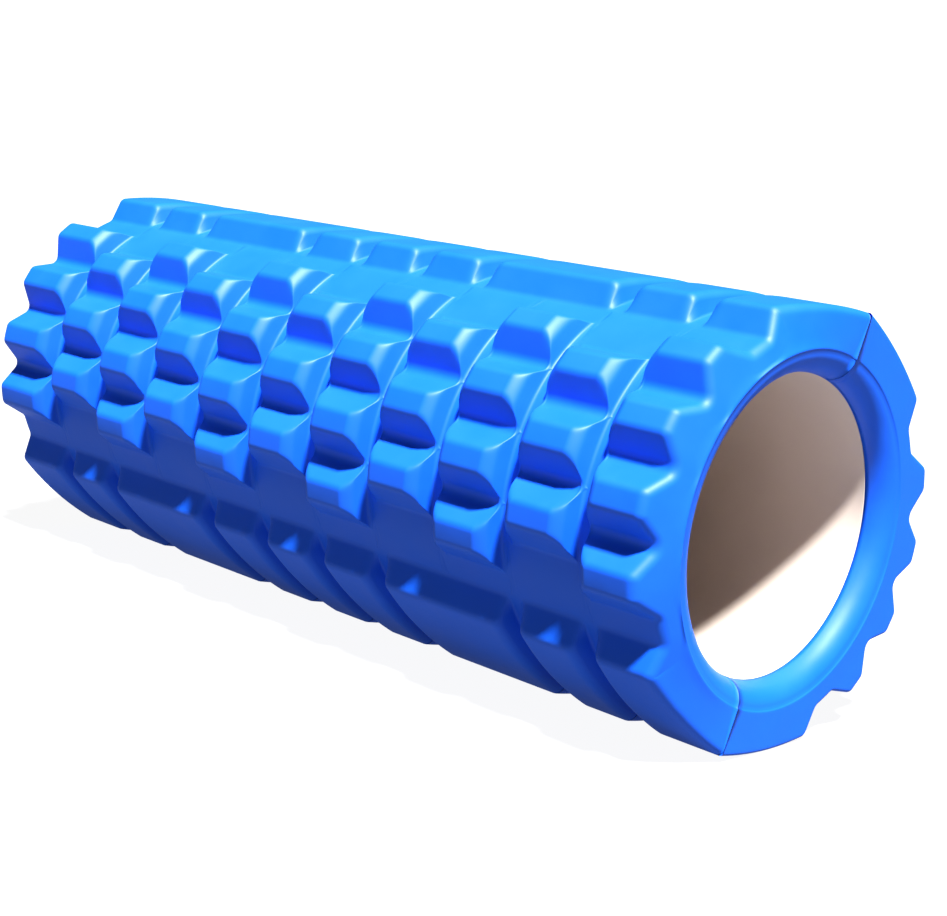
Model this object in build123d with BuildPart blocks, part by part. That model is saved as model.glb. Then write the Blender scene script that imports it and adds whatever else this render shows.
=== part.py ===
from build123d import *
from math import asin, cos, degrees, hypot, radians, sin
import os

# Foam roller lying along X: a hollow core tube inside a moulded foam sleeve made of two half shells.
# Millimetres, +Z up, the tube's axis on X and the middle of the roller at the origin.

# Overall sizes
column_pitch = 30.0         # one column of blocks along the roller
column_count = 11
tooth_radius = 70.0         # outside of the sleeve, over the blocks
block_height = 8.0          # from the bottom of the grooves to the block tops
flush_end_round = 1.2       # rounding at the end where the blocks run out to the end face
sloped_end_round = 2.4      # rounding at the end where the blocks slope down to the end face
end_slope = 5.0             # how far short of that end face the block tops stop

# Core tube and the way the foam holds it
tube_outer_radius = 50.0
tube_wall = 3.0
tube_recess = 8.0           # how far the tube stops short of an end face
glue_gap = 0.1              # glue line between the tube and the foam
seam_gap = 0.2              # glue line between the two half shells
lip_overhang = 2.9          # how far the foam lip covers the tube's end
mouth_flare = 5.0           # how much wider than the tube the foam opens at an end face
mouth_bulge = 1.5           # how far the flared mouth bulges from a straight cone
mouth_round = 1.0
mouth_rim = 2.0             # flat left round a mouth before the end face slopes away

# Block pattern of a half shell, seen along the roller, angles from the mould's pull direction
pull_angle = 69.5           # pull direction of the front shell, from +Z towards -Y
teeth_in_odd_column = 4
tooth_spacing = 20.0        # angle from one block to the next in a column
tooth_top_width = 7.6
tooth_round = 3.0           # rounding along the top of a block
valley_round = 3.0          # fillet between two blocks
channel_span = 8.0          # angle of the smooth channel beside the last block
channel_share = 0.75        # where in that channel the grooves stop beside a wide rib
rib_side_span = 6.0         # angle taken by the side of a rib
rib_edge_drop = 0.8         # how far a rib's edge, middle and seam ridge lie below the block tops
rib_middle_drop = 2.1
rib_seam_drop = 0.1
rib_round = 3.0

# Grooves between the columns
groove_floor_width = 4.4
groove_top_width = 9.0
groove_shoulder = 3.0       # rounding where a groove wall meets the block tops
groove_fillet = 1.2
wide_ribs = (3, 8)          # columns whose rib runs on into the next column

pick_reach = 0.05           # how near its place a corner is looked for when it is rounded

roller_length = column_pitch * column_count
half_length = roller_length / 2
floor_radius = tooth_radius - block_height
tube_length = roller_length - 2 * tube_recess
tube_inner_radius = tube_outer_radius - tube_wall
foam_bore_radius = tube_outer_radius + glue_gap
mouth_radius = tube_outer_radius + mouth_flare
slope_foot_radius = mouth_radius + mouth_rim
lip_radius = tube_outer_radius - lip_overhang
lip_inner_x = half_length - tube_recess + glue_gap
outside = 2 * tooth_radius
channel_start = tooth_spacing * teeth_in_odd_column / 2
channel_stop = channel_start + channel_span * channel_share
rib_foot_angle = channel_start + channel_span
rib_edge_angle = rib_foot_angle + rib_side_span
rib_edge_radius = tooth_radius - rib_edge_drop
rib_middle_radius = tooth_radius - rib_middle_drop
rib_seam_radius = tooth_radius - rib_seam_drop
seam_direction = (0, cos(radians(pull_angle)), sin(radians(pull_angle)))
groove_positions = [column_pitch * step - half_length for step in range(1, column_count)]


def turned(radius, angle):
    """Point at an angle from the pull direction, in the shell's own section plane."""
    return (radius * sin(radians(angle)), radius * cos(radians(angle)))


def section_plane(x):
    """Plane across the roller at x, with the front shell's pull direction as its second axis."""
    return Plane(origin=(x, 0, 0), x_dir=seam_direction, z_dir=(1, 0, 0))


def radial_plane(angle):
    """Plane through the tube's axis, with the direction at this angle as its second axis."""
    lean = radians(pull_angle - angle)
    return Plane(origin=(0, 0, 0), x_dir=(1, 0, 0), z_dir=(0, -cos(lean), -sin(lean)))


def groove_profile(plane):
    """Space between two columns: sloping walls, a rounded foot and rounded shoulders."""
    floor_half = groove_floor_width / 2
    top_half = groove_top_width / 2
    with BuildSketch(plane) as profile:
        with BuildLine():
            Polyline(
                (-column_pitch / 2, tooth_radius),
                (-top_half, tooth_radius),
                (-floor_half, floor_radius),
                (floor_half, floor_radius),
                (top_half, tooth_radius),
                (column_pitch / 2, tooth_radius),
                (column_pitch / 2, outside),
                (-column_pitch / 2, outside),
                close=True,
            )
        make_face()
        fillet([v for v in profile.vertices() if abs(abs(v.X) - top_half) < pick_reach], groove_shoulder)
        fillet([v for v in profile.vertices() if abs(abs(v.X) - floor_half) < pick_reach], groove_fillet)
    return profile.sketch


def column_section(plane, tooth_count):
    """Half section of the sleeve in one column: rib, channel, blocks, channel and rib."""
    top_half = degrees(asin(tooth_top_width / 2 / tooth_radius))
    first_tooth = -tooth_spacing * (tooth_count - 1) / 2
    last_valley = tooth_spacing * tooth_count / 2
    with BuildSketch(plane) as section:
        with BuildLine():
            for number in range(tooth_count):
                angle = first_tooth + tooth_spacing * number
                left, right = turned(tooth_radius, angle - top_half), turned(tooth_radius, angle + top_half)
                Line(turned(floor_radius, angle - tooth_spacing / 2), left)
                ThreePointArc(left, turned(tooth_radius, angle), right)
                Line(right, turned(floor_radius, angle + tooth_spacing / 2))
            for side in (-1, 1):
                foot = turned(floor_radius, side * rib_foot_angle)
                edge = turned(rib_edge_radius, side * rib_edge_angle)
                channel_middle = turned(floor_radius, side * (last_valley + rib_foot_angle) / 2)
                rib_middle = turned(rib_middle_radius, side * (rib_edge_angle + 90) / 2)
                ThreePointArc(turned(floor_radius, side * last_valley), channel_middle, foot)
                Line(foot, edge)
                ThreePointArc(edge, rib_middle, (side * rib_seam_radius, seam_gap / 2))
            Line((-rib_seam_radius, seam_gap / 2), (rib_seam_radius, seam_gap / 2))
        make_face()
        edges = [v for v in section.vertices() if abs(hypot(v.X, v.Y) - rib_edge_radius) < pick_reach]
        fillet(edges, rib_round)
        corners = [v for v in section.vertices() if v.Y > seam_gap]
        fillet([v for v in corners if abs(hypot(v.X, v.Y) - tooth_radius) < pick_reach], tooth_round)
        feet = [v for v in section.vertices() if abs(hypot(v.X, v.Y) - floor_radius) < pick_reach]
        fillet(feet, valley_round)
    return section


def outer_edges(end_face):
    """Edges of an end face that lie further out than the mouth."""
    return [e for e in end_face.edges() if hypot((e @ 0.5).Y, (e @ 0.5).Z) > mouth_radius]


# Blank of the front shell: the columns side by side, with their end edges softened
with BuildPart() as blank:
    for number in range(column_count):
        start = column_pitch * number - half_length
        teeth = teeth_in_odd_column - number % 2
        extrude(column_section(section_plane(start), teeth).sketch, amount=column_pitch)
    fillet(outer_edges(blank.faces().sort_by(Axis.X)[0]), flush_end_round)
    fillet(outer_edges(blank.faces().sort_by(Axis.X)[-1]), sloped_end_round)

# Space inside the sleeve: the tube's bore, a lip over each tube end and the flared mouths
with BuildPart() as hollow:
    with BuildSketch(Plane.XY) as hollow_profile:
        with BuildLine():
            lip = (lip_inner_x, lip_radius)
            mouth = (half_length, mouth_radius)
            flare_middle = ((lip[0] + mouth[0] + mouth_bulge) / 2, (lip[1] + mouth[1] - mouth_bulge) / 2)
            ThreePointArc(lip, flare_middle, mouth)
            Polyline(mouth, (half_length, tooth_radius), (outside + half_length, tooth_radius))
            Line((outside + half_length, tooth_radius), (outside + half_length, 0))
            Line((outside + half_length, 0), (0, 0))
            Polyline((0, 0), (0, foam_bore_radius), (lip_inner_x, foam_bore_radius), lip)
        make_face()
        fillet(hollow_profile.vertices().sort_by_distance((half_length, mouth_radius, 0))[0], mouth_round)
        mirror(about=Plane.YZ)
    revolve(axis=Axis.X)

# Groove between two columns: a ring that leaves rounded shoulders on the block tops
with BuildPart() as groove_ring:
    add(groove_profile(radial_plane(0)))
    revolve(axis=Axis.X)

# Where a wide rib runs on past the groove, the groove only spans the blocks
with BuildPart() as block_groove:
    add(groove_profile(radial_plane(channel_stop)))
    revolve(axis=Axis.X, revolution_arc=2 * channel_stop)

# Slope from the tops of the last blocks down to the end face
with BuildPart() as block_slope:
    with BuildSketch(radial_plane(channel_stop)) as slope_profile:
        with BuildLine():
            slope_top = half_length - end_slope
            Polyline(
                (half_length, slope_foot_radius),
                (slope_top, tooth_radius),
                (half_length - column_pitch / 2, tooth_radius),
                (half_length - column_pitch / 2, outside),
                (half_length + end_slope, outside),
                (half_length + end_slope, slope_foot_radius),
                close=True,
            )
        make_face()
        fillet([v for v in slope_profile.vertices() if abs(v.X - slope_top) < pick_reach], groove_shoulder)
    revolve(axis=Axis.X, revolution_arc=2 * channel_stop)

# Front half of the sleeve
with BuildPart() as foam_shell_front:
    add(blank)
    for number, x in enumerate(groove_positions, 1):
        with Locations((x, 0, 0)):
            add(block_groove if number in wide_ribs else groove_ring, mode=Mode.SUBTRACT)
    add(block_slope, mode=Mode.SUBTRACT)
    add(hollow, mode=Mode.SUBTRACT)
foam_shell_front.part.label = "foam_shell_front"

# Rear half: the same moulding turned end for end, about the line where the halves meet
with BuildPart() as foam_shell_rear:
    add(foam_shell_front.part.rotate(Axis((0, 0, 0), seam_direction), 180))
foam_shell_rear.part.label = "foam_shell_rear"

# Core tube
with BuildPart() as core_tube:
    with BuildSketch(Plane.YZ):
        Circle(tube_outer_radius)
        Circle(tube_inner_radius, mode=Mode.SUBTRACT)
    extrude(amount=tube_length / 2, both=True)
core_tube.part.label = "core_tube"

os.makedirs("parts", exist_ok=True)
export_step(core_tube.part, "parts/core_tube.step")
export_step(foam_shell_front.part, "parts/foam_shell_front.step")
export_step(foam_shell_rear.part, "parts/foam_shell_rear.step")
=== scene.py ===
import math
import bpy
import numpy as np
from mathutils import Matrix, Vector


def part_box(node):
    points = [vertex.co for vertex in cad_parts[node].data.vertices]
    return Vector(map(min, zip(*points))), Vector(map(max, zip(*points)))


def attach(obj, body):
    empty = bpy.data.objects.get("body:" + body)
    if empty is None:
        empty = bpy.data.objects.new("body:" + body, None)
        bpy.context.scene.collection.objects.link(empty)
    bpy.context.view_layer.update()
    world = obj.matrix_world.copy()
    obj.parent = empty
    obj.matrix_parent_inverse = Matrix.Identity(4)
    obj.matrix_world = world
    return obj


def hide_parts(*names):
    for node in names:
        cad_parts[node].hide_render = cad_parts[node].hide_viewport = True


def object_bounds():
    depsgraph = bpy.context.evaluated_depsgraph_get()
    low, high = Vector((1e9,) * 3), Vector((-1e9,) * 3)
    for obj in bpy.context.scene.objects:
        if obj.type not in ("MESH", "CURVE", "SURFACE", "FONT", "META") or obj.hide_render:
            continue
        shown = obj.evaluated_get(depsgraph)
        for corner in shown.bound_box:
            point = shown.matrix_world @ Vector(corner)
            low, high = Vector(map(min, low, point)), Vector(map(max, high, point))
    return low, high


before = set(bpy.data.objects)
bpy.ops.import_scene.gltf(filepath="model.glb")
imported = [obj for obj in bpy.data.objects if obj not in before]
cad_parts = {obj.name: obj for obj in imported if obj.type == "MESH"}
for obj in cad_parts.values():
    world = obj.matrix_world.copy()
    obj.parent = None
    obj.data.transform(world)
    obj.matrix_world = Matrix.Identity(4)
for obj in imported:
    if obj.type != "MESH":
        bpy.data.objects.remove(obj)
cad_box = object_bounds()


# Core tube, the rigid body that the foam is glued round: extruded ABS, warm off-white and smooth,
# cut square with its rims broken. It stops 8 mm short of each end face, behind the foam lip.
MM = 0.001
tube_end, _, tube_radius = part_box("core_tube")[1]
tube_wall = 3 * MM
rim_break = 0.4 * MM


def linear(colour):
    """An sRGB hex colour as linear red, green, blue and alpha."""
    parts = [int(colour[k:k + 2], 16) / 255 for k in (1, 3, 5)]
    return tuple(part / 12.92 if part <= 0.04045 else ((part + 0.055) / 1.055)**2.4 for part in parts) + (1,)


def add_node(tree, kind, inputs=None, **settings):
    """Add a node; an input takes a plain value, a socket, or another node's first live output."""
    node = tree.nodes.new(kind)
    for name, value in settings.items():
        setattr(node, name, value)
    for key, value in (inputs or {}).items():
        if isinstance(value, bpy.types.Node):
            value = next(output for output in value.outputs if output.enabled)
        if isinstance(value, bpy.types.NodeSocket):
            tree.links.new(value, node.inputs[key])
        else:
            node.inputs[key].default_value = value
    return node


outer = [(x, tube_radius) for x in np.linspace(-tube_end + rim_break, tube_end - rim_break, 9)]
inner = [(x, tube_radius - tube_wall) for x in np.linspace(tube_end - rim_break, -tube_end + rim_break, 9)]
section = []
for centre, start in (((tube_end - rim_break, tube_radius - rim_break), 90),
                      ((tube_end - rim_break, tube_radius - tube_wall + rim_break), 0),
                      ((-tube_end + rim_break, tube_radius - tube_wall + rim_break), -90),
                      ((-tube_end + rim_break, tube_radius - rim_break), -180)):
    for turn in np.radians(np.linspace(start, start - 90, 5)):
        section.append((centre[0] + rim_break * math.cos(turn), centre[1] + rim_break * math.sin(turn)))
section = section[:10] + inner[1:-1] + section[10:] + outer[1:-1]
sides = 256
tube_points = [(x, radius * math.cos(angle), radius * math.sin(angle))
               for angle in np.linspace(0, 2 * math.pi, sides, endpoint=False) for x, radius in section]
size = len(section)
tube_faces = [(side * size + k, side * size + (k + 1) % size,
               (side + 1) % sides * size + (k + 1) % size, (side + 1) % sides * size + k)
              for side in range(sides) for k in range(size)]
tube_mesh = bpy.data.meshes.new("core_tube")
tube_mesh.from_pydata(tube_points, [], tube_faces)
tube_mesh.shade_smooth()
tube = bpy.data.objects.new("core_tube_extrusion", tube_mesh)
bpy.context.scene.collection.objects.link(tube)

plastic = bpy.data.materials.new("extruded_abs_off_white")
plastic.use_nodes = True
plastic_tree = plastic.node_tree
coat = plastic_tree.nodes["Principled BSDF"]
coat.inputs["Roughness"].default_value = 0.42
coat.inputs["IOR"].default_value = 1.52
where = add_node(plastic_tree, "ShaderNodeTexCoord").outputs["Object"]
# draw lines of the extrusion: fine streaks that run the whole length of the tube
streaks = add_node(plastic_tree, "ShaderNodeMapping", {"Vector": where, "Scale": (4, 900, 900)})
streaks = add_node(plastic_tree, "ShaderNodeTexNoise", {"Vector": streaks, "Scale": 1.0, "Detail": 2.0})
clouds = add_node(plastic_tree, "ShaderNodeTexNoise", {"Vector": where, "Scale": 45.0, "Detail": 3.0})
off_white = {0: clouds.outputs["Fac"], 6: linear("#CDBFB4"), 7: linear("#D5C9BF")}
shade = add_node(plastic_tree, "ShaderNodeMix", off_white, data_type="RGBA")
plastic_tree.links.new(shade.outputs[2], coat.inputs["Base Color"])
relief = add_node(plastic_tree, "ShaderNodeBump", {"Height": streaks.outputs["Fac"], "Strength": 0.15,
                                                   "Distance": 0.02 * MM})
plastic_tree.links.new(relief.outputs[0], coat.inputs["Normal"])
tube_mesh.materials.append(plastic)
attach(tube, "root")
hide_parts("core_tube")


# Foam sleeve, the blue body of the roller: two half shells of closed-cell EVA foam, moulded with
# staggered blocks and cross ribs, and glued round the core tube. The block sides slope outwards
# from their tops, so that the shell comes out of its mould.
column_pitch = 30 * MM
column_count = 11
tooth_radius = 70 * MM
floor_radius = 62 * MM
tooth_spacing = 20
tooth_top_width = 7.6 * MM
tooth_round = 3 * MM
valley_round = 3 * MM
rib_edge = (69.2 * MM, 54)
rib_middle = (67.9 * MM, 72)
rib_seam_radius = 69.9 * MM
rib_round = 3 * MM
channel_angle = 48
groove_floor_width = 4.4 * MM
groove_top_width = 9 * MM
groove_shoulder = 3.6 * MM
groove_fillet = 1.2 * MM
wide_rib_place = 75 * MM
flush_end_round = 1.2 * MM
sloped_end_round = 2.4 * MM
end_slope = 5.0 * MM
mouth_radius = 55 * MM
mouth_round = 1 * MM
round_reach = 0.41
mouth_bulge = 1.5 * MM
mould_angle = 69.5
seam_half_gap = 0.1 * MM

half_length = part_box("foam_shell_front")[1][0]
lip_radius = tube_radius - 2.9 * MM
foam_bore = tube_radius + 0.1 * MM
lip_inner = tube_end + 0.1 * MM


def polar(radius, angle):
    """Point in the section of a shell, its angle in degrees from the mould's opening direction."""
    return np.array([radius * math.sin(math.radians(angle)), radius * math.cos(math.radians(angle))])


def straight(start, end):
    """A straight stretch of an outline."""
    start, end = np.array(start), np.array(end)
    return lambda u: start + (end - start) * u


def arc(radius, first, last):
    """A stretch of an outline round the roller's axis, between two angles."""
    return lambda u: polar(radius, first + (last - first) * u)


def bowed(start, middle, end):
    """A shallow arc through three points."""
    start, middle, end = np.array(start), np.array(middle), np.array(end)
    return lambda u: start * (1 - u) * (1 - 2 * u) + middle * 4 * u * (1 - u) + end * u * (2 * u - 1)


def rounded(stretches, radii, counts, steps):
    """Points along an outline of stretches, with its corners rounded by the given radii."""
    cuts = []
    for (before, after), radius in zip(zip(stretches, stretches[1:]), radii):
        incoming = before(1.0) - before(0.999)
        outgoing = after(0.001) - after(0.0)
        incoming = incoming / np.linalg.norm(incoming)
        outgoing = outgoing / np.linalg.norm(outgoing)
        turn = math.acos(max(-1.0, min(1.0, float(incoming @ outgoing))))
        cuts.append((radius * math.tan(turn / 2), 4 / 3 * math.tan(turn / 4) * radius))
    points = []
    for number, stretch in enumerate(stretches):
        length = sum(np.linalg.norm(stretch((k + 1) / 20) - stretch(k / 20)) for k in range(20))
        first = cuts[number - 1][0] / length if number else 0.0
        last = 1 - cuts[number][0] / length if number < len(cuts) else 1.0
        span = [first + (last - first) * (0.5 - 0.5 * math.cos(math.pi * k / counts[number]) * 0.98)
                for k in range(1, counts[number])]
        points += [stretch(u) for u in [first] + span + [last]]
        if number < len(cuts):
            after = stretches[number + 1]
            length_after = sum(np.linalg.norm(after((k + 1) / 20) - after(k / 20)) for k in range(20))
            next_first = cuts[number][0] / length_after
            start, end = stretch(last), after(next_first)
            lead = stretch(last) - stretch(last - 0.001)
            tail = after(next_first + 0.001) - after(next_first)
            lead = start + lead / np.linalg.norm(lead) * cuts[number][1]
            tail = end - tail / np.linalg.norm(tail) * cuts[number][1]
            for k in range(1, steps):
                u = k / steps
                points.append(start * (1 - u)**3 + lead * 3 * u * (1 - u)**2
                              + tail * 3 * u**2 * (1 - u) + end * u**3)
    return np.array(points)


def shell_section(tooth_angles, channel_steps):
    """Outline of a half shell across one column: rib, channel, blocks, channel and rib."""
    foot = polar(floor_radius, channel_angle)
    edge = polar(*rib_edge)
    bend = polar(*rib_middle)
    seam = np.array([rib_seam_radius, seam_half_gap])
    mirror = np.array([-1, 1])
    top_half = math.degrees(math.asin(tooth_top_width / 2 / tooth_radius))
    half_spacing = tooth_spacing / 2
    stretches = [bowed(seam * mirror, bend * mirror, edge * mirror), straight(edge * mirror, foot * mirror)]
    stretches.append(arc(floor_radius, -channel_angle, tooth_angles[0] - half_spacing))
    radii = [rib_round, valley_round, valley_round]
    counts = [16, 6, channel_steps]
    for angle in tooth_angles:
        left, right = polar(tooth_radius, angle - top_half), polar(tooth_radius, angle + top_half)
        stretches.append(straight(polar(floor_radius, angle - half_spacing), left))
        stretches.append(arc(tooth_radius, angle - top_half, angle + top_half))
        stretches.append(straight(right, polar(floor_radius, angle + half_spacing)))
        radii += [tooth_round, tooth_round, valley_round]
        counts += [6, 7, 6]
    stretches.append(arc(floor_radius, tooth_angles[-1] + half_spacing, channel_angle))
    stretches += [straight(foot, edge), bowed(edge, bend, seam)]
    radii += [valley_round, rib_round]
    counts += [channel_steps, 6, 16]
    return rounded(stretches, radii, counts, 5)


odd_teeth = [tooth_spacing * k for k in (-1.5, -0.5, 0.5, 1.5)]
even_teeth = [tooth_spacing * k for k in (-1, 0, 1)]
odd_section = shell_section(odd_teeth, 3)
even_section = shell_section(even_teeth, 20)
point_count = len(odd_section)
rib_points = 31


def feet_under(section, tooth_angles):
    """For each outline point, the place on the groove floor that it rises from."""
    top_half = math.asin(tooth_top_width / 2 / tooth_radius)
    valley = polar(floor_radius, tooth_spacing / 2)
    corner = polar(tooth_radius, math.degrees(top_half))
    apex_radius = corner[1] + corner[0] * (corner[1] - valley[1]) / (valley[0] - corner[0])
    feet = []
    for number, point in enumerate(section):
        on_rib = number < rib_points or number >= point_count - rib_points
        if on_rib or np.linalg.norm(point) < floor_radius + 0.001 * MM:
            feet.append(point * floor_radius / np.linalg.norm(point))
            continue
        here = math.degrees(math.atan2(point[0], point[1]))
        middle = min(tooth_angles, key=lambda angle: abs(here - angle))
        apex = polar(apex_radius, middle)
        ray = point - apex
        half = apex @ ray
        root = math.sqrt(half**2 - (ray @ ray) * (apex @ apex - floor_radius**2))
        foot = apex - ray * (half + root) / (ray @ ray)
        away = math.degrees(math.atan2(foot[0], foot[1])) - middle
        feet.append(polar(floor_radius, middle + max(-tooth_spacing / 2, min(tooth_spacing / 2, away))))
    return np.maximum(np.array(feet), [-1, seam_half_gap])


odd_feet = feet_under(odd_section, odd_teeth)
even_feet = feet_under(even_section, even_teeth)
steps_along = np.diff(odd_section, axis=0)
steps_along /= np.linalg.norm(steps_along, axis=1)[:, None]
steps_along = np.vstack([steps_along[:1], steps_along[1:] + steps_along[:-1], steps_along[-1:]])
odd_outward = np.stack([-steps_along[:, 1], steps_along[:, 0]], 1)
odd_outward /= np.linalg.norm(steps_along, axis=1)[:, None]
odd_outward[[0, -1]] = [[-1, 0], [1, 0]]

# The groove floor where two columns meet is spaced the same in all columns, and the inside
# follows the outline smoothly
shared_angles = np.degrees(np.arctan2(odd_feet[:, 0], odd_feet[:, 1]))
shared_angles[rib_points:-rib_points] = np.linspace(
    shared_angles[rib_points], shared_angles[-rib_points - 1], point_count - 2 * rib_points)
common_feet = np.maximum([polar(floor_radius, angle) for angle in shared_angles], [-1, seam_half_gap])
outline_angles = np.maximum.accumulate(np.degrees(np.arctan2(odd_section[:, 0], odd_section[:, 1])))
angles_run_on = np.concatenate([[-90] * 6, outline_angles, [90] * 6])
inside_angles = np.convolve(angles_run_on, np.ones(13) / 13, "valid")
inside_angles[[0, -1]] = [-90, 90]
inside_ring = np.array([polar(1, angle) for angle in inside_angles])

half_groove = rounded(
    [straight((0, floor_radius), (groove_floor_width / 2, floor_radius)),
     straight((groove_floor_width / 2, floor_radius), (groove_top_width / 2, tooth_radius)),
     straight((groove_top_width / 2, tooth_radius), (column_pitch / 2, tooth_radius))],
    [groove_fillet, groove_shoulder], [2, 6, 7], 5)
flat_floor = half_groove[2][0]

# Rings of points round the shell, from one end face to the other and back inside: place, height
# over blocks, height over ribs, share of the common floor, inset, share of the inside, the inside
# radius and how far the ring leans back on its way out to the block tops
rings = []
for groove in range(1, column_count):
    place = groove * column_pitch - half_length
    wide = abs(abs(place) - wide_rib_place) < MM
    for offset, height in np.vstack([half_groove[::-1] * [-1, 1], half_groove[1:]]):
        if not rings or place + offset > rings[-1][0] + 0.01 * MM:
            common = max(0.0, 1 - abs(offset) / flat_floor)
            over_ribs = tooth_radius if wide else height
            rings.append((place + offset, height, over_ribs, common, 0, 0, mouth_radius, 0))


def end_rings(rounding, slope):
    """Rings from the middle of an end column out over its end edge and into the mouth and bore."""
    found = []
    for place in np.linspace(half_length - column_pitch / 2, half_length - rounding, 12)[1:]:
        lean = slope * (place - half_length + column_pitch / 2) / (column_pitch / 2 - rounding)
        found.append((place, 0, 0, lean))
    for turn in np.radians(range(75, -1, -15)):
        place = half_length - rounding * (1 - math.cos(turn))
        found.append((place, rounding * (1 - math.sin(turn)), 0, slope))
    for share in (0.08, 0.35, 0.65, 0.92):
        found.append((half_length, rounding, share, slope))
    found = [(place, tooth_radius, tooth_radius, 0, inset, inside, mouth_radius, lean)
             for place, inset, inside, lean in found]
    for turn in np.radians(range(0, 46, 9)):
        radius = mouth_radius + mouth_round * (round_reach - math.sin(turn))
        place = half_length - mouth_round * (1 - math.cos(turn))
        found.append((place, tooth_radius, tooth_radius, 0, rounding, 1, radius, 0))
    for share in np.linspace(0.13, 1, 9):
        bulge = mouth_bulge * 4 * share * (1 - share)
        place = half_length + (lip_inner - half_length) * share + bulge
        radius = mouth_radius + (lip_radius - mouth_radius) * share - bulge
        found.append((place, tooth_radius, tooth_radius, 0, rounding, 1, radius, 0))
    for place in np.linspace(lip_inner, 0, 6):
        found.append((place, tooth_radius, tooth_radius, 0, rounding, 1, foam_bore, 0))
    return found


flush_end = [(-ring[0],) + ring[1:] for ring in end_rings(flush_end_round, 0)]
rings = rings + end_rings(sloped_end_round, end_slope) + flush_end[-2::-1]
rings = np.array(rings)
ring_count = len(rings)


def in_space(flat_points):
    """Section points as points in space, before the section is turned to the mould's direction."""
    return np.column_stack([np.zeros(len(flat_points)), flat_points[:, 0], flat_points[:, 1]])


sleeve_grid = bpy.data.meshes.new("sleeve_grid")
faces = []
for ring in range(ring_count):
    after = (ring + 1) % ring_count
    for number in range(point_count - 1):
        a, b = ring * point_count + number, after * point_count + number
        faces.append((a, b, b + 1, a + 1))
faces.append([ring * point_count for ring in range(ring_count)])
faces.append([ring * point_count + point_count - 1 for ring in reversed(range(ring_count))])
inside = [np.maximum(in_space(inside_ring * ring[6]), [-1, -1, seam_half_gap]) for ring in rings]
inside = np.concatenate(inside)
sleeve_grid.from_pydata(inside + np.repeat(rings[:, :1], point_count, 0) * [1, 0, 0], [], faces)
on_rib = np.ones(point_count)
on_rib[rib_points:-rib_points] = 0
past_edge = np.abs(np.degrees(np.arctan2(odd_section[:, 0], odd_section[:, 1]))) - rib_edge[1]
lean_share = 1 - np.clip(past_edge / (90 - rib_edge[1]), 0, 1)
for name, values in {
    "groove_height": rings[:, 1],
    "rib_height": rings[:, 2],
    "common_floor": rings[:, 3],
    "inset": rings[:, 4],
    "inside_share": rings[:, 5],
    "lean": rings[:, 7],
}.items():
    layer = sleeve_grid.attributes.new(name, "FLOAT", "POINT")
    layer.data.foreach_set("value", np.repeat(values, point_count))
for name, values in {"on_rib": on_rib, "lean_share": lean_share}.items():
    layer = sleeve_grid.attributes.new(name, "FLOAT", "POINT")
    layer.data.foreach_set("value", np.tile(values, ring_count))
for name, values in {
    "odd_outline": odd_section,
    "even_outline": even_section,
    "odd_feet": odd_feet,
    "even_feet": even_feet,
    "outward": odd_outward,
    "common_feet": common_feet,
}.items():
    layer = sleeve_grid.attributes.new(name, "FLOAT_VECTOR", "POINT")
    layer.data.foreach_set("vector", np.tile(in_space(values), (ring_count, 1)).ravel())


# The moulding rule: which kind of column a point lies in, how high the groove lets it rise along
# its own side of the block, and how the end edges and block corners are softened
moulding = bpy.data.node_groups.new("moulded_columns", "GeometryNodeTree")
moulding.interface.new_socket("Geometry", in_out="INPUT", socket_type="NodeSocketGeometry")
for name in ("Column Pitch", "Roller Length", "Floor Radius", "Block Radius", "Mouth Radius",
             "End For End", "Mould Angle"):
    moulding.interface.new_socket(name, in_out="INPUT", socket_type="NodeSocketFloat")
moulding.interface.new_socket("Corner Softening", in_out="INPUT", socket_type="NodeSocketInt")
moulding.interface.new_socket("Foam", in_out="INPUT", socket_type="NodeSocketMaterial")
moulding.interface.new_socket("Geometry", in_out="OUTPUT", socket_type="NodeSocketGeometry")
given = add_node(moulding, "NodeGroupInput").outputs


def number_node(operation, *values, **settings):
    """Arithmetic on plain numbers in the moulding rule."""
    return add_node(moulding, "ShaderNodeMath", dict(enumerate(values)), operation=operation, **settings)


def vector_node(operation, *values):
    """Arithmetic on places or directions in the moulding rule."""
    return add_node(moulding, "ShaderNodeVectorMath", dict(enumerate(values)), operation=operation)


def stored(name, kind="FLOAT"):
    """A value that the grid carries at each point."""
    return add_node(moulding, "GeometryNodeInputNamedAttribute", {"Name": name}, data_type=kind)


inside_place = add_node(moulding, "GeometryNodeInputPosition")
place = add_node(moulding, "ShaderNodeSeparateXYZ", {0: inside_place}).outputs[0]
from_end = number_node("ADD", place, number_node("MULTIPLY", given["Roller Length"], 0.4999))
column = number_node("FLOOR", number_node("DIVIDE", from_end, given["Column Pitch"]))
even = number_node("MODULO", column, 2.0)
mixed = {}
for name in ("outline", "feet"):
    odd, other = stored("odd_" + name, "FLOAT_VECTOR"), stored("even_" + name, "FLOAT_VECTOR")
    choices = {0: even, 4: odd, 5: other}
    mixed[name] = add_node(moulding, "ShaderNodeMix", choices, data_type="VECTOR")
rise = vector_node("SUBTRACT", mixed["outline"], mixed["feet"])
rise_square = vector_node("DOT_PRODUCT", rise, rise).outputs[1]
rise_half = vector_node("DOT_PRODUCT", mixed["feet"], rise).outputs[1]
groove_height = stored("groove_height")
floor_square = number_node("MULTIPLY", given["Floor Radius"], given["Floor Radius"])
short_by = number_node("SUBTRACT", floor_square, number_node("MULTIPLY", groove_height, groove_height))
inside_root = number_node("SUBTRACT", number_node("MULTIPLY", rise_half, rise_half),
                          number_node("MULTIPLY", rise_square, short_by))
root = number_node("SQRT", number_node("MAXIMUM", inside_root, 0.0))
block_share = number_node("DIVIDE", number_node("SUBTRACT", root, rise_half), rise_square, use_clamp=True)
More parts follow.
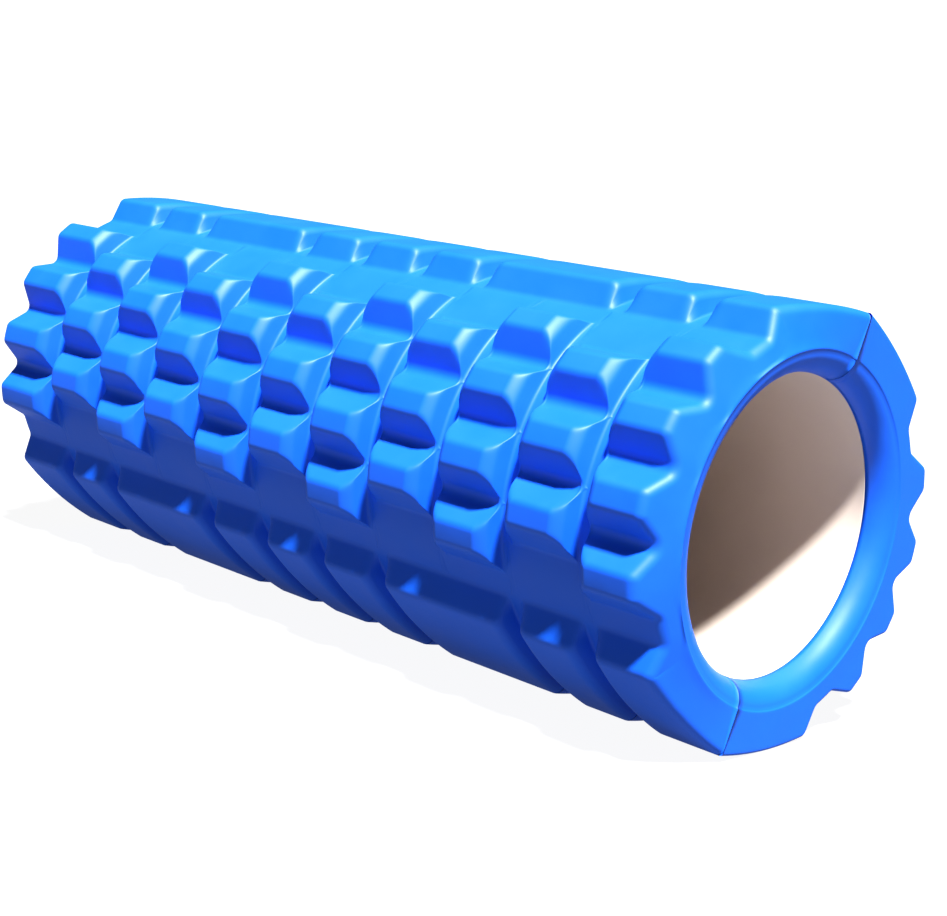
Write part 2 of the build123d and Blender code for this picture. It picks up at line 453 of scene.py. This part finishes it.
depth = number_node("SUBTRACT", given["Block Radius"], given["Floor Radius"])
rib_rise = number_node("SUBTRACT", stored("rib_height"), given["Floor Radius"])
rib_share = number_node("DIVIDE", rib_rise, depth, use_clamp=True)
on_rib_here = stored("on_rib")
share = add_node(moulding, "ShaderNodeMix", {0: on_rib_here, 2: block_share, 3: rib_share})
raised = add_node(moulding, "ShaderNodeVectorMath", {0: rise, 3: share, 1: (1, 1, 1)}, operation="SCALE")
raised = vector_node("ADD", mixed["feet"], raised)
off_rib = number_node("SUBTRACT", 1.0, on_rib_here)
floor_share = number_node("MULTIPLY", stored("common_floor"), off_rib)
raised = add_node(moulding, "ShaderNodeMix",
                  {0: floor_share, 4: raised, 5: stored("common_feet", "FLOAT_VECTOR")}, data_type="VECTOR")
inset = add_node(moulding, "ShaderNodeVectorMath",
                 {0: stored("outward", "FLOAT_VECTOR"), 3: stored("inset")}, operation="SCALE")
raised = vector_node("SUBTRACT", raised, inset)
raised = vector_node("ADD", raised, add_node(moulding, "ShaderNodeCombineXYZ", {0: place}))
shaped = add_node(moulding, "ShaderNodeMix",
                  {0: stored("inside_share"), 4: raised, 5: inside_place},
                  data_type="VECTOR")

# The sloped end: the further out a point lies, the further it leans back from the end face
across = add_node(moulding, "ShaderNodeSeparateXYZ", {0: shaped})
radius = number_node("SQRT", number_node("ADD", number_node("POWER", across.outputs[1], 2.0),
                                         number_node("POWER", across.outputs[2], 2.0)))
out_share = number_node("DIVIDE", number_node("SUBTRACT", radius, given["Mouth Radius"]),
                        number_node("SUBTRACT", given["Block Radius"], given["Mouth Radius"]), use_clamp=True)
lean = number_node("MULTIPLY", number_node("MULTIPLY", stored("lean"), stored("lean_share")), out_share)
shaped = vector_node("SUBTRACT", shaped, add_node(moulding, "ShaderNodeCombineXYZ", {0: lean}))

# Block corners: where a block's side and its groove wall meet at nearly one height. The softening
# fades out at the groove floor and just below the block tops.
corner_reach = 3 * MM
top_fade = 0.6 * MM
groove_fade = 0.3 * MM
floor_fade = 1 * MM
side_height = vector_node("LENGTH", mixed["outline"]).outputs[1]
meeting = number_node("ABSOLUTE", number_node("SUBTRACT", groove_height, side_height))
meeting = number_node("SUBTRACT", 1.0, number_node("DIVIDE", meeting, corner_reach), use_clamp=True)
lower = number_node("MINIMUM", groove_height, side_height)
below_top = number_node("SUBTRACT", given["Block Radius"], lower)
below_top = number_node("DIVIDE", below_top, top_fade, use_clamp=True)
below_block = number_node("SUBTRACT", given["Block Radius"], groove_height)
below_block = number_node("DIVIDE", below_block, groove_fade, use_clamp=True)
above_floor = number_node("SUBTRACT", lower, given["Floor Radius"])
above_floor = number_node("DIVIDE", above_floor, floor_fade, use_clamp=True)
corner = number_node("MULTIPLY", number_node("MULTIPLY", meeting, below_top),
                     number_node("MULTIPLY", number_node("MULTIPLY", above_floor, below_block), off_rib))
geometry = add_node(moulding, "GeometryNodeStoreNamedAttribute",
                    {"Geometry": given["Geometry"], "Name": "corner", "Value": corner})
geometry = add_node(moulding, "GeometryNodeSetPosition", {"Geometry": geometry, "Position": shaped})
geometry = add_node(moulding, "GeometryNodeMergeByDistance", {"Geometry": geometry, "Distance": 0.004 * MM})
softened = add_node(moulding, "GeometryNodeBlurAttribute",
                    {"Value": add_node(moulding, "GeometryNodeInputPosition"),
                     "Iterations": given["Corner Softening"], "Weight": stored("corner")},
                    data_type="FLOAT_VECTOR")
flipped = add_node(moulding, "ShaderNodeVectorRotate",
                   {"Vector": softened, "Angle": given["End For End"]}, rotation_type="Y_AXIS")
turned = add_node(moulding, "ShaderNodeVectorRotate",
                  {"Vector": flipped, "Angle": given["Mould Angle"]}, rotation_type="X_AXIS")
geometry = add_node(moulding, "GeometryNodeSetPosition", {"Geometry": geometry, "Position": turned})
geometry = add_node(moulding, "GeometryNodeSetShadeSmooth", {"Geometry": geometry})
geometry = add_node(moulding, "GeometryNodeRealizeInstances", {"Geometry": geometry})
geometry = add_node(moulding, "GeometryNodeSetMaterial", {"Geometry": geometry, "Material": given["Foam"]})
add_node(moulding, "NodeGroupOutput", {"Geometry": geometry})


# EVA foam, moulded: a closed satin skin that throws small soft highlights along rounded edges
eva = bpy.data.materials.new("moulded_eva_foam")
eva.use_nodes = True
eva_tree = eva.node_tree
skin = eva_tree.nodes["Principled BSDF"]
skin.inputs["IOR"].default_value = 1.47
where = add_node(eva_tree, "ShaderNodeTexCoord").outputs["Object"]
mottle = add_node(eva_tree, "ShaderNodeTexNoise", {"Vector": where, "Scale": 60.0, "Detail": 4.0})
blues = {0: mottle.outputs["Fac"], 6: linear("#0D5EDC"), 7: linear("#1165E4")}
tint = add_node(eva_tree, "ShaderNodeMix", blues, data_type="RGBA")
eva_tree.links.new(tint.outputs[2], skin.inputs["Base Color"])
satin = add_node(eva_tree, "ShaderNodeMapRange",
                 {"Value": mottle.outputs["Fac"], 1: 0.3, 2: 0.7, 3: 0.5, 4: 0.58})
eva_tree.links.new(satin.outputs[0], skin.inputs["Roughness"])
swells = add_node(eva_tree, "ShaderNodeTexNoise", {"Vector": where, "Scale": 110.0, "Detail": 1.0})
pores = add_node(eva_tree, "ShaderNodeTexNoise", {"Vector": where, "Scale": 2500.0, "Detail": 2.0})
swell_relief = add_node(eva_tree, "ShaderNodeBump", {"Height": swells.outputs["Fac"], "Strength": 0.35,
                                                     "Distance": 0.35 * MM})
pore_relief = add_node(eva_tree, "ShaderNodeBump", {"Height": pores.outputs["Fac"], "Strength": 0.3,
                                                    "Distance": 0.02 * MM, "Normal": swell_relief})
eva_tree.links.new(pore_relief.outputs[0], skin.inputs["Normal"])

for node_name, flip in (("foam_shell_front", 0), ("foam_shell_rear", 180)):
    source = bpy.data.objects.new(node_name + "_grid", sleeve_grid)
    bpy.context.scene.collection.objects.link(source)
    rule = source.modifiers.new("moulding", "NODES")
    rule.node_group = moulding
    sizes = {
        "Column Pitch": column_pitch,
        "Roller Length": 2 * half_length,
        "Floor Radius": floor_radius,
        "Block Radius": tooth_radius,
        "Mouth Radius": mouth_radius,
        "End For End": math.radians(flip),
        "Mould Angle": math.radians(mould_angle),
        "Corner Softening": 14,
        "Foam": eva,
    }
    for item in moulding.interface.items_tree:
        if item.in_out == "INPUT" and item.name in sizes:
            rule[item.identifier] = sizes[item.name]
    shaped_mesh = bpy.data.meshes.new_from_object(source.evaluated_get(bpy.context.evaluated_depsgraph_get()))
    bpy.data.objects.remove(source)
    for layer in list(shaped_mesh.attributes):
        if not layer.is_required and layer.name not in ("sharp_face", "material_index"):
            shaped_mesh.attributes.remove(layer)
    shell = bpy.data.objects.new(node_name + "_skin", shaped_mesh)
    bpy.context.scene.collection.objects.link(shell)
    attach(shell, "root")
    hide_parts(node_name)


# Floor and backdrop: a sheet of white acrylic lit from behind, which runs far beyond the roller.
# It looks brighter than it lights, so the underside of the roller stays dark.
floor_mesh = bpy.data.meshes.new("floor")
reach = 40.0
floor_level = cad_box[0][2]
floor_mesh.from_pydata([(-reach, -reach, floor_level), (reach, -reach, floor_level),
                        (reach, reach, floor_level), (-reach, reach, floor_level)], [], [(0, 1, 2, 3)])
floor = bpy.data.objects.new("floor", floor_mesh)
bpy.context.scene.collection.objects.link(floor)
acrylic = bpy.data.materials.new("backlit_white_acrylic")
acrylic.use_nodes = True
acrylic_tree = acrylic.node_tree
sheet = acrylic_tree.nodes["Principled BSDF"]
sheet.inputs["Base Color"].default_value = linear("#585858")
sheet.inputs["Roughness"].default_value = 0.9
sheet.inputs["Specular IOR Level"].default_value = 0.1
sheet.inputs["Emission Color"].default_value = linear("#FFFFFF")
looked_at = add_node(acrylic_tree, "ShaderNodeLightPath").outputs["Is Camera Ray"]
glow = add_node(acrylic_tree, "ShaderNodeMapRange", {"Value": looked_at, 3: 0.22, 4: 0.78})
acrylic_tree.links.new(glow.outputs[0], sheet.inputs["Emission Strength"])
floor_mesh.materials.append(acrylic)


# Light: one strong key high above, as far away as the sun, in a white surround that also looks
# brighter than it lights
world = bpy.data.worlds.new("studio")
bpy.context.scene.world = world
world.use_nodes = True
surround = world.node_tree.nodes["Background"]
surround.inputs["Color"].default_value = linear("#FFFFFF")
looked_at = add_node(world.node_tree, "ShaderNodeLightPath").outputs["Is Camera Ray"]
strength = add_node(world.node_tree, "ShaderNodeMapRange", {"Value": looked_at, 3: 0.075, 4: 1.2})
world.node_tree.links.new(strength.outputs[0], surround.inputs["Strength"])
key = bpy.data.lights.new("key", "SUN")
key.angle = math.radians(6)
key.energy = 11.5
key_light = bpy.data.objects.new("key", key)
bpy.context.scene.collection.objects.link(key_light)
towards_key = (0.42, -0.26, 1.0)
key_tilt = math.atan2(math.hypot(towards_key[0], towards_key[1]), towards_key[2])
key_turn = math.atan2(towards_key[1], towards_key[0]) + math.pi / 2
key_light.rotation_euler = (key_tilt, 0, key_turn)


# Camera: a short telephoto looking along the roller from its open end
lens = bpy.data.cameras.new("camera")
lens.lens = 69.61
lens.sensor_width = 36
camera = bpy.data.objects.new("camera", lens)
bpy.context.scene.collection.objects.link(camera)
camera.location = (0.463184, -0.452052, 0.108500)
camera.rotation_euler = (math.radians(79.7784), math.radians(-5.4800), math.radians(44.8250))
bpy.context.scene.camera = camera
bpy.context.scene.view_settings.view_transform = "Standard"
bpy.context.scene.view_settings.look = "Medium High Contrast"
